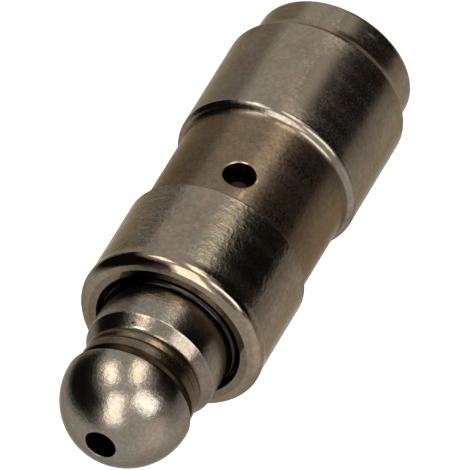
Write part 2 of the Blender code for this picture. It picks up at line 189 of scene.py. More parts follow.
def softPanelGroup():
    # Mask of a tilted rectangle in the sky: one inside its width and height, fading over its softness
    group, entry, leave = startGroup(
        "Soft panel",
        [
            ("Direction", "Vector", None),
            ("Compass", "Float", 0.0),
            ("Elevation", "Float", 0.0),
            ("Width", "Float", 30.0),
            ("Height", "Float", 30.0),
            ("Tilt", "Float", 0.0),
            ("Softness", "Float", 10.0),
        ],
        [("Mask", "Float")],
    )
    turned = entry["Direction"]
    turns = (("Compass", -1, "Z_AXIS"), ("Elevation", 1, "Y_AXIS"), ("Tilt", -1, "X_AXIS"))
    for label, sign, axis in turns:
        angle = calc(group, "RADIANS", calc(group, "MULTIPLY", entry[label], sign))
        node = group.nodes.new("ShaderNodeVectorRotate")
        node.rotation_type = axis
        fill(group, node.inputs["Vector"], turned)
        fill(group, node.inputs["Angle"], angle)
        turned = node.outputs[0]
    split = place(group, "ShaderNodeSeparateXYZ", turned).outputs
    across = calc(group, "ARCTAN2", split[1], split[0])
    above = calc(group, "ARCSINE", split[2])
    mask = None
    for angle, label in ((across, "Width"), (above, "Height")):
        degrees = calc(group, "ABSOLUTE", calc(group, "DEGREES", angle))
        half = calc(group, "MULTIPLY", entry[label], 0.5)
        fade = calc(group, "MULTIPLY", entry["Softness"], 0.5)
        inside = ramp(group, degrees, calc(group, "ADD", half, fade), calc(group, "SUBTRACT", half, fade))
        mask = inside if mask is None else calc(group, "MULTIPLY", mask, inside)
    fill(group, leave["Mask"], mask)
    return group


def lightStudio(settings):
    world = bpy.data.worlds.new("studio")
    world.use_nodes = True
    scene.world = world
    tree = world.node_tree
    tree.nodes.clear()
    direction = place(tree, "ShaderNodeTexCoord").outputs["Generated"]
    group = softPanelGroup()
    colour = settings["tent"]
    for _, bearing, elevation, width, height, tilt, softness, strength, tint in settings["panels"]:
        mask = useGroup(
            tree, group, Direction=direction, Compass=cameraView["compass"] - bearing, Elevation=elevation,
            Width=width, Height=height, Tilt=tilt, Softness=softness,
        )[0]
        light = (tint[0] * strength, tint[1] * strength, tint[2] * strength, 1.0)
        colour = blendColour(tree, mask, colour, light)
    seen = place(tree, "ShaderNodeLightPath").outputs["Is Camera Ray"]
    shown = blendColour(tree, seen, colour, (1.0, 1.0, 1.0, 1.0))
    background = place(tree, "ShaderNodeBackground", shown, 1.0)
    place(tree, "ShaderNodeOutputWorld", background.outputs[0])


whiteTable = {
    "reach": 4.0,  # metres to each side
    "colour": (0.80, 0.80, 0.80, 1.0),
    "roughness": 0.8,
    "glow": 0.55,  # seen by the camera alone
}


def layFloor(t):
    mesh = bpy.data.meshes.new("table")
    corners = [(x * t["reach"], y * t["reach"], 0) for x, y in ((-1, -1), (1, -1), (1, 1), (-1, 1))]
    mesh.from_pydata(corners, [], [(0, 1, 2, 3)])
    table = bpy.data.objects.new("table", mesh)
    scene.collection.objects.link(table)
    material = bpy.data.materials.new("White table")
    material.use_nodes = True
    tree = material.node_tree
    shader = tree.nodes["Principled BSDF"]
    shader.inputs["Base Color"].default_value = t["colour"]
    shader.inputs["Roughness"].default_value = t["roughness"]
    shader.inputs["Emission Color"].default_value = (1.0, 1.0, 1.0, 1.0)
    seen = place(tree, "ShaderNodeLightPath").outputs["Is Camera Ray"]
    fill(tree, shader.inputs["Emission Strength"], calc(tree, "MULTIPLY", seen, t["glow"]))
    mesh.materials.append(material)
    table.visible_glossy = False


scene.view_settings.view_transform = "Standard"
lightStudio(studio)
layFloor(whiteTable)
print("studio lit")


# Finishes

steels = {
    "housing": {
        "colour": (0.203, 0.169, 0.126),
        "stain": (0.125, 0.101, 0.078),
        "bright": (0.330, 0.305, 0.270),
        "edge": (0.60, 0.53, 0.455),  # colour that grazing light takes
        "roughness": 0.195,
        "lines": 5200,  # grinding lines for each metre
        "lineDepth": 0.0000070,
        "grain": 7000,
        "grainDepth": 0.0000040,
        "pits": 3300,
        "pitDepth": 0.0000170,
        "anisotropy": 0.45,
    },
    "piston": {
        "colour": (0.205, 0.178, 0.147),
        "stain": (0.130, 0.107, 0.084),
        "bright": (0.340, 0.315, 0.280),
        "edge": (0.55, 0.51, 0.47),
        "roughness": 0.185,
        "lines": 6000,
        "lineDepth": 0.0000016,
        "grain": 9500,
        "grainDepth": 0.0000075,
        "pits": 4200,
        "pitDepth": 0.0000090,
        "anisotropy": 0.20,
    },
    "bearing": {
        "colour": (0.46, 0.455, 0.45),
        "stain": (0.34, 0.33, 0.31),
        "bright": (0.60, 0.60, 0.60),
        "edge": (0.90, 0.90, 0.90),
        "roughness": 0.10,
        "lines": 9000,
        "lineDepth": 0.0000001,
        "grain": 14000,
        "grainDepth": 0.0000002,
        "pits": 5000,
        "pitDepth": 0.0000001,
        "anisotropy": 0.0,
    },
    "sheet": {
        "colour": (0.36, 0.345, 0.32),
        "stain": (0.25, 0.23, 0.20),
        "bright": (0.52, 0.50, 0.47),
        "edge": (0.80, 0.78, 0.75),
        "roughness": 0.28,
        "lines": 3000,
        "lineDepth": 0.0000006,
        "grain": 9000,
        "grainDepth": 0.0000010,
        "pits": 4200,
        "pitDepth": 0.0000020,
        "anisotropy": 0.2,
    },
    "spring": {
        # Near black: oily dark wire, made darker still as painted shade so the ring sinks into the dark gap
        "colour": (0.022, 0.019, 0.016),
        "stain": (0.012, 0.010, 0.008),
        "bright": (0.040, 0.036, 0.031),
        "edge": (0.04, 0.036, 0.03),
        "roughness": 0.42,
        "lines": 2500,
        "lineDepth": 0.0000006,
        "grain": 8000,
        "grainDepth": 0.0000009,
        "pits": 4200,
        "pitDepth": 0.0000020,
        "anisotropy": 0.2,
    },
}
# Zones in mm: radius below which, from height, to height; share of the zone's look
# Oil zones: a real oil film on inner and hidden faces, made near black as painted shade for the dark bore,
# the gap round the shaft and the holes
oiledAndShaded = {
    "housing": [(5.40, 4.0, 25.25, 1.0), (5.05, 2.3, 4.5, 1.0)],
    "piston": [
        (1.0, 26.0, 40.0, 0.2),
        (3.6, 12.0, 27.5, 1.0),
        (5.2, 14.2, 17.8, 1.0),
        (5.2, 23.0, 25.66, 1.0),
    ],
    "sheet": [(9.0, 0.0, 12.0, 1.0)],
}
# Skins: zones; tint, change of roughness and smoothing in them. The groove keeps the dark skin that hardening
# leaves;
# the neck and, thinner, the flare are darker partly from that rougher skin and partly as painted shade under
# the ball. The hole's edge is bare, the lower land is smoother than the upper, the rolled lip is burnished,
# its inner face is darkened as a painted darker reflection, and a band under the ball is painted near black
# as shade
skins = {
    "housing": [
        ([(5.60, 10.9, 18.36, 1.0)], (0.70, 0.62, 0.55), 0.10, 0.5),
        ([(5.475, 14.8, 17.5, 1.0)], (2.4, 2.6, 3.0), -0.10, 0.8),
        ([(9.0, -1.0, 10.4, 1.0)], (1.0, 1.0, 1.0), 0.06, 0.75),
        ([(9.0, 10.46, 11.1, 1.0)], (0.88, 0.90, 0.97), -0.02, 0.6),
        ([(9.0, 24.70, 26.0, 1.0)], (0.98, 0.96, 0.95), -0.12, 0.85),
        # The lip's inner face, darkened: painted darker reflection
        ([(5.25, 25.30, 26.0, 1.0)], (0.70, 0.68, 0.68), 0.0, 0.0),
    ],
    "piston": [
        # Neck and flare: partly the rougher, darker hardened skin, partly painted shade under the ball
        ([(3.95, 28.99, 31.40, 1.0), (4.22, 28.24, 29.1, 0.38)], (0.56, 0.51, 0.45), 0.08, 0.0),
        # A band under the ball, tinted near black: painted shade
        ([(3.95, 30.50, 31.36, 1.0)], (0.15, 0.13, 0.11), 0.08, 0.0),
    ],
}
# The oil's near-black colour is partly painted shade
oilAndShadeLook = {"colour": (0.023, 0.018, 0.015), "roughness": 0.085, "smoothing": 0.85}
# Small marks in mm: direction from +X in degrees, height, half width, half length; share, roughness; colour
marks = {
    "housing": [
        (-117.0, 0.90, 0.50, 0.16, 0.45, 0.50, (0.26, 0.20, 0.14)),
        (-101.5, 1.30, 1.00, 2.20, 0.9, 0.26, (0.100, 0.083, 0.062)),
        (-101.5, 6.90, 1.15, 4.20, 0.9, 0.24, (0.115, 0.095, 0.072)),
        (-98.0, 17.55, 0.15, 0.50, 0.45, 0.40, (0.30, 0.26, 0.20)),
        (-101.8, 16.10, 0.09, 0.25, 0.7, 0.30, (0.36, 0.33, 0.29)),
        # Two dark purple patches on the lip: painted dark reflections
        (-74.5, 25.31, 1.50, 0.20, 0.85, 0.08, (0.050, 0.040, 0.043)),
        (-123.0, 25.22, 1.20, 0.08, 0.80, 0.08, (0.055, 0.043, 0.048)),
    ],
    "piston": [
        (-71.0, 28.73, 0.13, 0.09, 1.0, 0.50, (0.020, 0.016, 0.012)),
        (-78.5, 28.93, 0.46, 0.05, 0.9, 0.25, (0.55, 0.52, 0.48)),
        (-76.5, 29.03, 0.60, 0.05, 0.8, 0.50, (0.020, 0.016, 0.012)),
    ],
}
# What all steels share: stains, bright grain, a warm and a greenish hue, hairlines, uneven roughness
mottling = {
    "stainScale": 330.0,
    "stainShare": 0.45,
    "grainShare": 0.35,
    "hueScale": 900.0,
    "hues": ((1.05, 0.97, 0.96, 1.0), (0.96, 1.01, 0.92, 1.0)),
    "hairlineShare": 0.3,
    "roughnessOfGrain": 0.05,
    "roughnessOfBands": 0.03,
}


def grindingGroup():
    # Rings left by turning and grinding: noise that is fine along the axis and the radius, and long round
    # the axis
    group, entry, leave = startGroup(
        "Grinding rings",
        [("Position", "Vector", None), ("Lines per metre", "Float", 5000.0), ("Length", "Float", 0.02)],
        [("Height", "Float"), ("Bands", "Float")],
    )
    split = place(group, "ShaderNodeSeparateXYZ", entry["Position"]).outputs
    reach = distance(group, split[0], split[1])
    along = calc(group, "ADD", split[2], calc(group, "MULTIPLY", reach, 1.37))
    sideways = calc(group, "MULTIPLY", split[0], entry["Length"])
    depthways = calc(group, "MULTIPLY", split[1], entry["Length"])
    vector = place(group, "ShaderNodeCombineXYZ", sideways, depthways, along).outputs[0]
    fine = noise(group, vector, entry["Lines per metre"], 3.0, 0.7)
    broad = noise(group, vector, calc(group, "MULTIPLY", entry["Lines per metre"], 0.16), 1.0)
    fill(group, leave["Height"], fine)
    fill(group, leave["Bands"], broad)
    return group


def scratchGroup():
    # Thin hairline marks: the narrow middle of a stretched noise, turned to its own slant
    group, entry, leave = startGroup(
        "Hairline marks",
        [
            ("Position", "Vector", None),
            ("Scale", "Float", 700.0),
            ("Slant", "Float", 0.6),
            ("Width", "Float", 0.012),
        ],
        [("Mask", "Float")],
    )
    turned = group.nodes.new("ShaderNodeVectorRotate")
    turned.rotation_type = "EULER_XYZ"
    fill(group, turned.inputs["Vector"], entry["Position"])
    steeper = calc(group, "MULTIPLY", entry["Slant"], 1.7)
    angles = place(group, "ShaderNodeCombineXYZ", entry["Slant"], steeper, 0.4)
    fill(group, turned.inputs["Rotation"], angles.outputs[0])
    stretch = (1.0, 0.12, 0.5)
    stretched = place(group, "ShaderNodeVectorMath", turned.outputs[0], stretch, operation="MULTIPLY")
    field = noise(group, stretched.outputs[0], entry["Scale"], 0.0)
    away = calc(group, "ABSOLUTE", calc(group, "SUBTRACT", field, 0.5))
    line = ramp(group, away, entry["Width"], 0.0)
    broad = noise(group, entry["Position"], calc(group, "MULTIPLY", entry["Scale"], 0.6), 0.0)
    patch = ramp(group, broad, 0.60, 0.68)
    fill(group, leave["Mask"], calc(group, "MULTIPLY", line, patch))
    return group


def zoneGroup():
    # Mask of a zone: one where the radius is under a limit and the height lies between two others
    group, entry, leave = startGroup(
        "Turned zone",
        [
            ("Position", "Vector", None),
            ("Radius", "Float", 0.005),
            ("From", "Float", 0.0),
            ("To", "Float", 0.02),
            ("Share", "Float", 1.0),
        ],
        [("Mask", "Float")],
    )
    split = place(group, "ShaderNodeSeparateXYZ", entry["Position"]).outputs
    reach = distance(group, split[0], split[1])
    blur = 0.06 * millimetre
    within = ramp(group, reach, calc(group, "ADD", entry["Radius"], blur), entry["Radius"])
    over = ramp(group, split[2], entry["From"], calc(group, "ADD", entry["From"], 2 * blur))
    under = ramp(group, split[2], calc(group, "ADD", entry["To"], 2 * blur), entry["To"])
    mask = calc(group, "MULTIPLY", calc(group, "MULTIPLY", over, under), within)
    fill(group, leave["Mask"], calc(group, "MULTIPLY", mask, entry["Share"]))
    return group


def smallMarkGroup():
    # Mask of a ragged oval on one side of the axis
    group, entry, leave = startGroup(
        "Small mark",
        [
            ("Position", "Vector", None),
            ("Direction", "Float", 0.0),
            ("Height", "Float", 0.01),
            ("Half width", "Float", 0.0002),
            ("Half length", "Float", 0.0002),
        ],
        [("Mask", "Float")],
    )
    turned = group.nodes.new("ShaderNodeVectorRotate")
    turned.rotation_type = "Z_AXIS"
    fill(group, turned.inputs["Vector"], entry["Position"])
    back = calc(group, "RADIANS", calc(group, "MULTIPLY", entry["Direction"], -1))
    fill(group, turned.inputs["Angle"], back)
    split = place(group, "ShaderNodeSeparateXYZ", turned.outputs[0]).outputs
    across = calc(group, "DIVIDE", split[1], entry["Half width"])
    along = calc(group, "DIVIDE", calc(group, "SUBTRACT", split[2], entry["Height"]), entry["Half length"])
    away = distance(group, across, along)
    ragged = ramp(group, noise(group, entry["Position"], 4000.0, 2.0), 0.3, 0.7, -0.15, 0.15)
    mask = ramp(group, calc(group, "ADD", away, ragged), 1.1, 0.5)
    near = calc(group, "GREATER_THAN", split[0], 0.0)
    fill(group, leave["Mask"], calc(group, "MULTIPLY", mask, near))
    return group


grindingRings = grindingGroup()
hairlineMarks = scratchGroup()
turnedZone = zoneGroup()
smallMark = smallMarkGroup()


def maskZones(tree, position, zones):
    # The zones together: the largest of their masks
    mask = None
    for radius, low, high, share in zones:
        one = useGroup(
            tree, turnedZone, Position=position, Radius=radius * millimetre, From=low * millimetre,
            To=high * millimetre, Share=share,
        )[0]
        mask = one if mask is None else calc(tree, "MAXIMUM", mask, one)
    return mask


def blendValue(tree, factor, first, second):
    node = tree.nodes.new("ShaderNodeMix")
    for socket, value in zip((node.inputs[0], node.inputs[2], node.inputs[3]), (factor, first, second)):
        fill(tree, socket, value)
    return node.outputs[0]


def groundSteel(name, finish, skinRows, oilAndShade, markRows):
    # Satin steel: rings and grain in the normal and roughness, cloudy stains and near-black oil in the
    # colour; the oil is partly a real film and partly painted shade on inner faces
    material = bpy.data.materials.new(name)
    material.use_nodes = True
    tree = material.node_tree
    shader = tree.nodes["Principled BSDF"]
    position = place(tree, "ShaderNodeTexCoord").outputs["Object"]
    rings = useGroup(tree, grindingRings, Position=position, **{"Lines per metre": finish["lines"]})
    hairlines = useGroup(tree, hairlineMarks, Position=position)[0]
    clouds = noise(tree, position, mottling["stainScale"], 4.0, 0.6)
    speckle = noise(tree, position, finish["grain"] * 0.45, 3.0, 0.65)
    grain = noise(tree, position, finish["grain"], 2.0, 0.6)
    elsewhere = place(tree, "ShaderNodeVectorMath", position, (0.0, 0.0, 1.0)).outputs[0]
    heat = noise(tree, elsewhere, mottling["hueScale"], 3.0, 0.6)

    plain = (*finish["colour"], 1.0)
    stain = (*finish["stain"], 1.0)
    bright = (*finish["bright"], 1.0)
    stained = blendColour(tree, ramp(tree, clouds, 0.42, 0.72, 0.0, mottling["stainShare"]), plain, stain)
    grained = blendColour(tree, ramp(tree, speckle, 0.35, 0.75, 0.0, mottling["grainShare"]), stained, bright)
    hue = blendColour(tree, ramp(tree, heat, 0.35, 0.65), *mottling["hues"])
    tinted = blendColour(tree, 1.0, grained, hue, "MULTIPLY")
    scratched = calc(tree, "MULTIPLY", hairlines, mottling["hairlineShare"])
    marked = blendColour(tree, scratched, tinted, bright)
    uneven = mottling["roughnessOfGrain"]
    spread = ramp(tree, grain, 0.25, 0.75, -uneven, uneven)
    uneven = mottling["roughnessOfBands"]
    banding = ramp(tree, rings["Bands"], 0.3, 0.7, -uneven, uneven)
    roughness = calc(tree, "ADD", calc(tree, "ADD", spread, banding), finish["roughness"])
    smooth = 1.0
    for zones, tint, rougher, smoothing in skinRows:
        mask = maskZones(tree, position, zones)
        marked = blendColour(tree, mask, marked, (*tint, 1.0), "MULTIPLY")
        roughness = calc(tree, "ADD", roughness, calc(tree, "MULTIPLY", mask, rougher))
        smooth = calc(tree, "MULTIPLY", smooth, blendValue(tree, mask, 1.0, 1.0 - smoothing))
    for direction, height, wide, tall, share, rough, colour in markRows:
        mask = useGroup(
            tree, smallMark, Position=position, Direction=direction, Height=height * millimetre,
            **{"Half width": wide * millimetre, "Half length": tall * millimetre},
        )[0]
        mask = calc(tree, "MULTIPLY", mask, share)
        marked = blendColour(tree, mask, marked, (*colour, 1.0))
        roughness = blendValue(tree, mask, roughness, rough)
    # Oil, near black: partly a real film, partly painted shade
    if oilAndShade:
        mask = maskZones(tree, position, oilAndShade)
        marked = blendColour(tree, mask, marked, (*oilAndShadeLook["colour"], 1.0))
        roughness = blendValue(tree, mask, roughness, oilAndShadeLook["roughness"])
        left = 1.0 - oilAndShadeLook["smoothing"]
        smooth = calc(tree, "MULTIPLY", smooth, blendValue(tree, mask, 1.0, left))
    fill(tree, shader.inputs["Base Color"], marked)
    fill(tree, shader.inputs["Roughness"], roughness)
    normal = None
    pits = noise(tree, position, finish["pits"], 1.0)
    for height, depth in ((rings["Height"], "lineDepth"), (pits, "pitDepth"), (grain, "grainDepth")):
        bump = place(tree, "ShaderNodeBump", 1.0, finish[depth])
        fill(tree, bump.inputs["Height"], calc(tree, "MULTIPLY", height, smooth))
        if normal is not None:
            fill(tree, bump.inputs["Normal"], normal)
        normal = bump.outputs[0]
    fill(tree, shader.inputs["Normal"], normal)

    shader.inputs["Metallic"].default_value = 1.0
    shader.inputs["Specular Tint"].default_value = (*finish["edge"], 1.0)
    shader.inputs["Anisotropic"].default_value = finish["anisotropy"]
    shader.inputs["Anisotropic Rotation"].default_value = 0.25
    return material


finishes = {
    name: groundSteel(
        name.capitalize() + " steel", finish, skins.get(name, []), oiledAndShaded.get(name), marks.get(name, [])
    )
    for name, finish in steels.items()
}
print("finishes mixed:", len(finishes))


# Surfaces

def roundedProfile(corners, filletStep=9.0, longest=0.35, hold=0.03):
    # Corners are (radius, height, fillet) in mm. A fillet is the arc tangent to both sides of its corner.
    # Straight runs are cut evenly, no longer than longest, with a short piece at each end to hold the
    # shading flat
    points = np.array([corner[:2] for corner in corners], float)
    fillets = [corner[2] for corner in corners]
    arcs = []
    for i, fillet in enumerate(fillets):
        here = points[i]
        if fillet <= 0 or i in (0, len(corners) - 1):
            arcs.append(here[None, :])
            continue
        before = points[i - 1] - here
        after = points[i + 1] - here
        before = before / np.linalg.norm(before)
        after = after / np.linalg.norm(after)
        opening = math.acos(np.clip(before @ after, -1, 1))
        reach = fillet / math.tan(opening / 2)
        middle = here + (before + after) / np.linalg.norm(before + after) * fillet / math.sin(opening / 2)
        first = here + before * reach - middle
        last = here + after * reach - middle
        turn = math.atan2(first[0] * last[1] - first[1] * last[0], first @ last)
        count = max(2, math.ceil(abs(math.degrees(turn)) / filletStep))
        angle = math.atan2(first[1], first[0]) + turn * np.linspace(0, 1, count + 1)
        arcs.append(middle + fillet * np.column_stack((np.cos(angle), np.sin(angle))))
    pieces = []
    for i, arc in enumerate(arcs):
        pieces.append(arc)
        if i == len(arcs) - 1:
            break
        start = arc[-1]
        end = arcs[i + 1][0]
        length = np.linalg.norm(end - start)
        if length > 4 * hold:
            count = max(1, math.ceil((length - 2 * hold) / longest))
            steps = np.linspace(hold, length - hold, count + 1)
            pieces.append(start + (end - start) * (steps / length)[:, None])
    return np.concatenate(pieces) * millimetre


def bentProfile(start, bends):
    # Arcs one after another, going up: the surface leans up by an angle that runs from the first to the
    # second of a bend, and a step along it is its radius of curvature times the change of that angle
    rows = [np.array([start], float)]
    for first, last, radius in bends:
        lean = np.radians(np.linspace(first, last, max(3, math.ceil(abs(last - first) / 6)) + 1))
        inwards = -radius * np.abs(np.cos(lean) - np.cos(lean[0]))
        upwards = radius * np.abs(np.sin(lean) - np.sin(lean[0]))
        rows.append((rows[-1][-1] + np.column_stack((inwards, upwards)))[1:])
    return np.concatenate(rows) * millimetre


def ringQuads(lower, upper):
    # Four-sided faces between rows of rings, given by the numbers of their points
    return np.stack((lower, np.roll(lower, -1, 1), np.roll(upper, -1, 1), upper), -1).reshape(-1, 4)


def poleFan(ring, pole):
    # Triangles from a ring of points to one point
    return np.stack((ring, np.roll(ring, -1), np.full(len(ring), pole)), -1)


def turnedSurface(profile, steps, closed):
    # A point stands at radius times cosine and radius times sine of the angle, and at its height.
    # The angle runs once round the axis; a profile end on the axis becomes one point in a fan
    onAxis = profile[:, 0] < 1e-9
    rows = profile[~onAxis]
    angle = np.linspace(0, 2 * np.pi, steps, endpoint=False)
    x = np.outer(rows[:, 0], np.cos(angle))
    y = np.outer(rows[:, 0], np.sin(angle))
    z = np.repeat(rows[:, 1], steps).reshape(x.shape)
    points = np.stack((x, y, z), -1).reshape(-1, 3)
    ids = np.arange(len(points)).reshape(len(rows), steps)
    upper = np.roll(ids, -1, 0) if closed else ids[1:]
    lower = ids if closed else ids[:-1]
    fans = []
    for end, ring in ((0, ids[0]), (-1, ids[-1])):
        if onAxis[end]:
            fan = poleFan(ring, len(points))
            points = np.vstack((points, [(0.0, 0.0, profile[end, 1])]))
            fans.append(fan[:, ::-1] if end == 0 else fan)
    return points, ringQuads(lower, upper), (np.concatenate(fans) if fans else np.zeros((0, 3), int))


def coilSurface(angle, radius, height, wire, sides=24):
    # Round wire round the axis: its centre stands at the radius and height given for each angle, and a point
    # of its skin leaves the centre by half the wire, cosine outwards and sine square to the wire. Each end is
    # rounded over to a small flat face
    outwards = np.column_stack((np.cos(angle), np.sin(angle), np.zeros_like(angle)))
    centre = outwards * radius + np.outer(height, (0.0, 0.0, 1.0))
    along = np.gradient(centre, axis=0)
    along /= np.linalg.norm(along, axis=1)[:, None]
    square = np.cross(along, outwards)
    square /= np.linalg.norm(square, axis=1)[:, None]
    rows = 5
    bend = np.linspace(np.pi / 2, 0, rows)
    rounding = wire * 0.15
    inset = rounding * (1 - np.sin(bend))
    narrow = wire / 2 - rounding * (1 - np.cos(bend))
    head = centre[0] + along[0] * inset[:, None]
    tail = centre[-1] - along[-1] * inset[::-1, None]
    centre = np.concatenate((head, centre[1:-1], tail))
    girth = np.concatenate((narrow, np.full(len(angle) - 2, wire / 2), narrow[::-1]))
    last = len(angle) - 1
    which = np.concatenate((np.zeros(rows, int), np.arange(1, last), np.full(rows, last)))
    turn = np.linspace(0, 2 * np.pi, sides, endpoint=False)[None, :, None]
    skin = np.cos(turn) * outwards[which][:, None, :] + np.sin(turn) * square[which][:, None, :]
    grid = centre[:, None, :] + girth[:, None, None] * skin
    ids = np.arange(len(centre) * sides).reshape(len(centre), sides)
    points = np.concatenate((grid.reshape(-1, 3), centre[:1], centre[-1:]))
    fans = (poleFan(ids[0], len(points) - 2)[:, ::-1], poleFan(ids[-1], len(points) - 1))
    return points * millimetre, ringQuads(ids[:-1], ids[1:]), np.concatenate(fans)


def meshOf(name, points, quads, triangles):
    # Turns the faces outwards where the enclosed volume comes out negative
    corners = [points[quads[:, [0, 1, 2]]], points[quads[:, [0, 2, 3]]], points[triangles]]
    volume = sum(np.einsum("ij,ij->", c[:, 0], np.cross(c[:, 1], c[:, 2])) for c in corners if len(c))
    if volume < 0:
        quads = quads[:, ::-1]
        triangles = triangles[:, ::-1]
    mesh = bpy.data.meshes.new(name)
    mesh.from_pydata(points.tolist(), [], quads.tolist() + triangles.tolist())
    mesh.validate()
    return mesh


def newPiece(name, surface):
    piece = bpy.data.objects.new(name, meshOf(name, *surface))
    scene.collection.objects.link(piece)
    return piece


def cutAway(piece, cutters):
    # Applies exact differences, one after another, and drops the cutters
    for cutter in cutters:
        modifier = piece.modifiers.new("cut", "BOOLEAN")
        modifier.operation = "DIFFERENCE"
        modifier.solver = "EXACT"
        modifier.object = cutter
    bpy.context.view_layer.update()
    evaluated = piece.evaluated_get(bpy.context.evaluated_depsgraph_get())
    mesh = bpy.data.meshes.new_from_object(evaluated)
    piece.modifiers.clear()
    piece.data = mesh
    for cutter in cutters:
        bpy.data.objects.remove(cutter, do_unlink=True)


def dress(piece, node, body, finish, sharpness=30):
    piece.data.materials.clear()
    piece.data.materials.append(finishes[finish])
    piece.data.shade_smooth()
    piece.data.set_sharp_from_angle(angle=math.radians(sharpness))
    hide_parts(node)
    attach(piece, body)
    print("made", piece.name, "with", len(piece.data.polygons), "faces")


def wallHoleCutter(name, wallRadius, direction, hole):
    # A drill whose edge is rounded evenly all round where it leaves a round wall. Seen from the hole's middle
    # a ring of radius r stands, at each angle, where the wall is: root of wall radius squared less
    # (r cosine) squared
    steps = 96
    beyond = 1.0
    radius, rounding, reach = (hole[key] for key in ("radius", "rounding", "reach"))
    around = np.linspace(0, 2 * np.pi, steps, endpoint=False)
    rim = radius + rounding * 1.05
    # radius, offset from the wall or, where that is none, from the wall's radius
    rings = [(radius, None, -reach)]
    for bend in np.linspace(0, np.pi / 2, 9):
        rings.append((radius + rounding * (1 - math.cos(bend)), rounding * (math.sin(bend) - 1), None))
    rings += [(rim, rounding * 0.5, None), (rim, None, beyond)]
    rows = []
    for r, offset, flat in rings:
        wall = np.sqrt(wallRadius**2 - (r * np.cos(around)) ** 2)
        depth = wall + offset if flat is None else np.full(steps, wallRadius + flat)
        rows.append(np.column_stack((r * np.cos(around), depth, r * np.sin(around))))
    points = np.concatenate(rows)
    ids = np.arange(len(points)).reshape(len(rows), steps)
    fans = (poleFan(ids[0][::-1], len(points)), poleFan(ids[-1], len(points) + 1))
    points = np.vstack((points, ((0.0, wallRadius - reach, 0.0), (0.0, wallRadius + beyond, 0.0))))
    # Local depth points away from the axis: turn it to its direction and lift it to its height
    turn = math.radians(direction - 90)
    x = points[:, 0] * math.cos(turn) - points[:, 1] * math.sin(turn)
    y = points[:, 0] * math.sin(turn) + points[:, 1] * math.cos(turn)
    placed = np.column_stack((x, y, points[:, 2] + hole["height"])) * millimetre
    return newPiece(name, (placed, ringQuads(ids[:-1], ids[1:]), np.concatenate(fans)))


# Housing, in mm from the foot's face

housing = {
    "landRadius": 6.0,
    "footRadius": 5.22,
    "footRounding": 0.33,
    "footTop": 2.50,
    "footCove": 1.35,
    "lowerLand": (3.12, 10.67),
    "landStart": 10.46,
    "landBends": [(0, 38, 0.45), (38, 58, 0.56), (58, 30, 0.35), (30, 0, 0.75)],
    "grooveRadius": 5.54,
    "groove": (11.07, 18.04),
    "upperLandBottom": 18.44,
    "lip": 25.50,
    "lipBulge": 0.06,
    "lipStart": 24.80,
    "lipBends": [(0, 38, 0.487), (38, 62, 1.06), (62, 69, 0.60)],  # lean from, lean to, radius of curvature
    "lipCrest": (5.28, 25.52),
    "mouthRadius": 4.76,
    "mouthRounding": 0.06,
    "boreRadius": 4.82,
    "floor": 2.6,
    "floorCorner": 0.4,
    "ringGroove": (5.13, 23.75, 24.45),
    "edge": 0.05,
    "feedHole": {"radius": 1.0, "height": 16.13, "rounding": 0.15, "reach": 3.0},
    "feedHoleDirection": -90,
    "steps": 280,
}


def makeHousing(h):
    land = h["landRadius"]
    edge = h["edge"]
    grooveWall, grooveLow, grooveHigh = h["ringGroove"]
    lead = (grooveWall - h["boreRadius"]) / 2
    lip = h["lip"]
    bulge = land + h["lipBulge"]
    start = h["lipStart"]
    lower = h["landStart"]
    # The lip and the lower land's upper edge roll over in soft bends
    lipRoll = bentProfile((bulge, start), h["lipBends"])
    landRoll = bentProfile((land, lower), h["landBends"])
    inside = [
        (0.0, h["floor"], 0),
        (h["boreRadius"], h["floor"], h["floorCorner"]),
        (h["boreRadius"], grooveLow - lead, 0.02),
        (grooveWall, grooveLow, 0.04),
        (grooveWall, grooveHigh, 0.04),
        (h["boreRadius"], grooveHigh + lead, 0.02),
        (h["boreRadius"], lip - 0.6, 0.05),
        (h["mouthRadius"], lip - 0.3, 0.08),
        (h["mouthRadius"], lip, h["mouthRounding"]),
        (*h["lipCrest"], 0.04),
        (*lipRoll[-1] / millimetre, 0),
    ]
    outside = [
        (bulge, start, 0),
        (bulge, start - 0.12, 1.2),
        (land, start - 0.50, 1.5),
        (land, h["upperLandBottom"] + 0.35, 2.0),
        (land + 0.01, h["upperLandBottom"], edge),
        (land - 0.10, h["upperLandBottom"] - 0.07, 0.04),
        (h["grooveRadius"] + 0.06, h["groove"][1] + 0.06, 0.08),
        (h["grooveRadius"], h["groove"][1], 0.06),
        (*landRoll[-1] / millimetre, 0),
    ]
    foot = [
        (land, lower, 0),
        (land, h["lowerLand"][0], 0.16),
        (h["footRadius"], h["footTop"], h["footCove"]),
        (h["footRadius"], 0.0, h["footRounding"]),
        (0.0, 0.0, 0),
    ]
    profile = np.concatenate((
        roundedProfile(inside)[:-1], lipRoll[::-1], roundedProfile(outside)[1:-1], landRoll[::-1],
        roundedProfile(foot)[1:],
    ))
    piece = newPiece("tappet_housing", turnedSurface(profile, h["steps"], False))
    cutAway(piece, [wallHoleCutter("feed_hole", h["grooveRadius"], h["feedHoleDirection"], h["feedHole"])])
    dress(piece, "housing", "housing", "housing")


makeHousing(housing)


# Upper piston with the ball head, in mm; heights of ball and neck are from the ball's centre

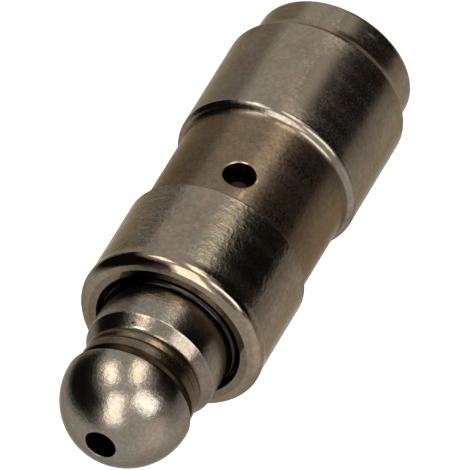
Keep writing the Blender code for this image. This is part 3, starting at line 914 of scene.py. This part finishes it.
piston = {
    "ballCentre": 31.43,
    "ballRadius": 4.15,
    "oilHole": 1.0,
    "oilHoleEdge": 0.03,
    "neck": [
        # radius, height below the ball's centre, fillet
        (4.15, -0.05, 0.02),
        (3.74, -0.12, 0.05),
        (3.74, -0.48, 0.12),
        (3.87, -0.75, 0.40),
        (3.86, -1.45, 0.30),
        (3.775, -1.66, 0.12),
        (3.83, -1.98, 0.40),
        (3.828, -2.12, 0.30),
        (3.772, -2.33, 0.14),
        (3.80, -2.44, 0),
    ],
    "flare": (30, 11),  # how far its face leans up at the neck and at the shoulder, degrees
    "shaftRadius": 4.25,
    "shoulder": -3.23,
    "shoulderRounding": 0.35,
    "cove": (0.25, 25.63),  # radius and upper end of the hollow round the shaft's foot
    "guideRadius": 4.77,
    "guide": (13.1, 23.7),
    "guideChamfer": 0.2,
    "waist": (4.57, 14.6, 17.4),
    "crossHole": {"radius": 0.8, "height": 16.13, "rounding": 0.06, "reach": 2.6},
    "reservoir": (3.1, 24.63),
    "steps": 240,
}


def makePiston(p):
    centre = p["ballCentre"]
    edge = p["oilHoleEdge"]
    hole = p["oilHole"]
    ball = p["ballRadius"]
    mouth = math.acos((hole + edge) / ball)
    around = np.linspace(mouth, 0.0, 60)
    ballRows = np.column_stack((ball * np.cos(around), centre + ball * np.sin(around)))
    neckTop = ballRows[-1]
    neck = [(neckTop[0], neckTop[1], 0)] + [(r, centre + z, f) for r, z, f in p["neck"]]
    # The flare is a smooth bow from the neck to the shoulder: squares of the way along and of the way left
    # weigh its ends, and twice their product the point where the end slopes meet
    start = np.array((p["neck"][-1][0], centre + p["neck"][-1][1]))
    lean = np.radians(p["flare"])
    turn = lean[1] * np.linspace(1, 0, 5)
    rounding = p["shoulderRounding"]
    top = centre + p["shoulder"]
    shoulder = np.column_stack((
        p["shaftRadius"] - rounding * (1 - np.cos(turn)), top - rounding * (np.sin(lean[1]) - np.sin(turn)),
    ))
    end = shoulder[0]
    slopes = np.column_stack((np.sin(lean), -np.cos(lean)))
    meet = start + slopes[0] * np.linalg.solve(slopes.T, end - start)[0]
    way = np.linspace(0, 1, 18)[:, None]
    flare = (1 - way) ** 2 * start + 2 * way * (1 - way) * meet + way**2 * end
    guideLow, guideHigh = p["guide"]
    chamfer = p["guideChamfer"]
    waistRadius, waistLow, waistHigh = p["waist"]
    slope = p["guideRadius"] - waistRadius
    drillPoint = (p["reservoir"][0] - hole) / math.tan(math.radians(59))
    bend, coveTop = p["cove"]
    turn = np.radians(np.linspace(0, 66, 9))
    cove = np.column_stack((p["shaftRadius"] + bend * (1 - np.cos(turn)), coveTop - bend * np.sin(turn)))
    shaft = [
        (cove[-1][0], cove[-1][1], 0),
        (cove[-1][0] + 0.02, cove[-1][1] - 0.03, 0.01),
        (cove[-1][0] + 0.02, guideHigh, 0.1),
        (p["guideRadius"] - chamfer, guideHigh, 0.03),
        (p["guideRadius"], guideHigh - chamfer, 0.03),
        (p["guideRadius"], waistHigh + slope, 0.05),
        (waistRadius, waistHigh, 0.1),
        (waistRadius, waistLow, 0.1),
        (p["guideRadius"], waistLow - slope, 0.05),
        (p["guideRadius"], guideLow + chamfer, 0.03),
        (p["guideRadius"] - chamfer, guideLow, 0.03),
        (p["reservoir"][0] + chamfer, guideLow, 0.03),
        (p["reservoir"][0], guideLow + chamfer, 0.03),
        (p["reservoir"][0], p["reservoir"][1], 0.1),
        (hole, p["reservoir"][1] + drillPoint, 0.05),
        (hole, centre + ball * math.sin(mouth) - edge, 0.03),
        (ballRows[0, 0], ballRows[0, 1], 0),
    ]
    straight = roundedProfile([(*shoulder[-1], 0), (*cove[0], 0)])
    rows = np.concatenate((
        ballRows * millimetre, roundedProfile(neck)[1:-1], flare * millimetre, shoulder[1:] * millimetre,
        straight[1:-1], cove * millimetre, roundedProfile(shaft)[1:-1],
    ))
    piece = newPiece("tappet_ball_head", turnedSurface(rows, p["steps"], True))
    # The holes stand half a step off the surface's lines, so that no edge of theirs meets one
    halfStep = 180 / p["steps"]
    cutAway(piece, [
        wallHoleCutter("cross_hole_" + str(i), waistRadius, i * 180 + halfStep, p["crossHole"])
        for i in (0, 1)
    ])
    dress(piece, "ball_head_piston", "ball_head_piston", "piston")


makePiston(piston)


# Retaining ring: a round wire, open behind the feed hole's far side, in mm and degrees

retainingRing = {"wire": 0.6, "radius": 4.78, "height": 24.10, "gap": 24, "steps": 240}


def makeRetainingRing(r):
    half = math.radians(r["gap"] / 2)
    angle = np.linspace(math.pi / 2 + half, math.pi * 2.5 - half, r["steps"])
    surface = coilSurface(angle, r["radius"], np.full(r["steps"], r["height"]), r["wire"])
    dress(newPiece("tappet_retaining_ring", surface), "retaining_ring", "housing", "spring")


makeRetainingRing(retainingRing)


# Lower piston with the valve's seat, in mm

lowerPiston = {
    "radius": 4.77,
    "top": 13.0,
    "bottom": 7.9,
    "recess": (3.97, 9.7),
    "seat": (0.95, 0.25),
    "web": 0.9,
    "reservoir": 3.1,
    "chamfer": 0.2,
    "edge": 0.04,
    "steps": 240,
}


def makeLowerPiston(p):
    radius, top, bottom, chamfer, edge = (p[key] for key in ("radius", "top", "bottom", "chamfer", "edge"))
    recess, face = p["recess"]
    seat, cone = p["seat"]
    corners = [
        (p["reservoir"], top - chamfer - 1.0, 0),
        (p["reservoir"], top - chamfer, edge),
        (p["reservoir"] + chamfer, top, edge),
        (radius - chamfer, top, edge),
        (radius, top - chamfer, edge),
        (radius, bottom + chamfer, edge),
        (radius - chamfer, bottom, edge),
        (recess + chamfer, bottom, edge),
        (recess, bottom + chamfer, edge),
        (recess, face, 0.1),
        (seat + cone, face, 0.02),
        (seat, face + cone, 0.02),
        (seat, face + p["web"], 0.05),
        (p["reservoir"], face + p["web"], 0.1),
        (p["reservoir"], face + p["web"] + 0.3, 0),
    ]
    surface = turnedSurface(roundedProfile(corners), p["steps"], True)
    dress(newPiece("tappet_lower_piston", surface), "lower_piston", "lower_piston", "piston")


makeLowerPiston(lowerPiston)


# Check valve: ball and cage, in mm

checkBall = {"radius": 1.5, "height": 8.708, "rings": 48, "steps": 96}


def makeCheckBall(b):
    # A half circle from top to bottom, turned round the axis
    angle = np.linspace(np.pi / 2, -np.pi / 2, b["rings"] + 1)
    profile = np.column_stack((b["radius"] * np.cos(angle), b["height"] + b["radius"] * np.sin(angle)))
    profile[[0, -1], 0] = 0.0
    surface = turnedSurface(profile * millimetre, b["steps"], False)
    dress(newPiece("tappet_check_ball", surface), "check_ball", "check_ball", "bearing", 60)


valveCage = {
    "sheet": 0.3,
    "inner": 1.9,
    "brim": 3.87,
    "top": 9.6,
    "floor": 6.208,
    "floorHole": 0.5,
    "window": (1.2, 1.4),
    "windows": 3,
    "bend": 0.15,
    "edge": 0.04,
    "steps": 180,
}


def boxSurface(low, high):
    # Eight corners: low or high in x, y and z
    pick = np.array(np.meshgrid((0, 1), (0, 1), (0, 1), indexing="ij")).reshape(3, -1).T
    points = np.where(pick == 0, low, high)
    quads = np.array(((0, 1, 3, 2), (4, 6, 7, 5), (0, 4, 5, 1), (2, 3, 7, 6), (0, 2, 6, 4), (1, 5, 7, 3)))
    return points, quads, np.zeros((0, 3), int)


def makeValveCage(c):
    sheet, inner, edge, bend = (c[key] for key in ("sheet", "inner", "edge", "bend"))
    corners = [
        (inner, c["top"] - 1.2, 0),
        (inner, c["top"], bend),
        (c["brim"], c["top"], edge),
        (c["brim"], c["top"] - sheet, edge),
        (inner + sheet, c["top"] - sheet, bend),
        (inner + sheet, c["floor"] - sheet, 2 * bend),
        (c["floorHole"], c["floor"] - sheet, edge),
        (c["floorHole"], c["floor"], edge),
        (inner, c["floor"], bend),
        (inner, c["floor"] + 0.6, 0),
    ]
    piece = newPiece("tappet_valve_cage", turnedSurface(roundedProfile(corners), c["steps"], True))
    wide, tall = c["window"]
    middle = (c["top"] + c["floor"] - sheet) / 2
    low = np.array((inner - 0.2, -wide / 2, middle - tall / 2)) * millimetre
    high = np.array((inner + sheet + 0.2, wide / 2, middle + tall / 2)) * millimetre
    points, quads, triangles = boxSurface(low, high)
    cutters = []
    for i in range(c["windows"]):
        turn = np.array(Matrix.Rotation(2 * math.pi * i / c["windows"], 3, "Z"))
        cutters.append(newPiece("window_" + str(i), (points @ turn.T, quads, triangles)))
    cutAway(piece, cutters)
    dress(piece, "valve_cage", "lower_piston", "sheet")


makeCheckBall(checkBall)
makeValveCage(valveCage)


# Coil springs, in mm: rows of turns and height say how the wire climbs

springs = {
    "return_spring": {
        "wire": 0.6,
        "radius": 3.085,
        "climb": [(0, 3.0), (1, 3.66), (4, 8.24), (5, 8.9)],
        "body": "housing",
        "joint": "piston_slide",
        "seat": 2.6,
        "keep": 0.604,
    },
    "valve_spring": {
        "wire": 0.22,
        "radius": 0.85,
        "climb": [(0, 6.368), (3, 7.277)],
        "body": "lower_piston",
        "joint": "check_ball_lift",
        "seat": 6.208,
        "keep": 0.77,
    },
}


def makeSpring(node, s, stepsPerTurn=60):
    turns, heights = np.array(s["climb"]).T
    angle = np.linspace(0, 2 * np.pi * turns[-1], int(turns[-1]) * stepsPerTurn + 1)
    height = np.interp(angle / (2 * np.pi), turns, heights)
    piece = newPiece("tappet_" + node, coilSurface(angle, s["radius"], height, s["wire"], 20))
    dress(piece, node, s["body"], "spring")
    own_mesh(piece)


for node in springs:
    makeSpring(node, springs[node])
print("inner pieces made")
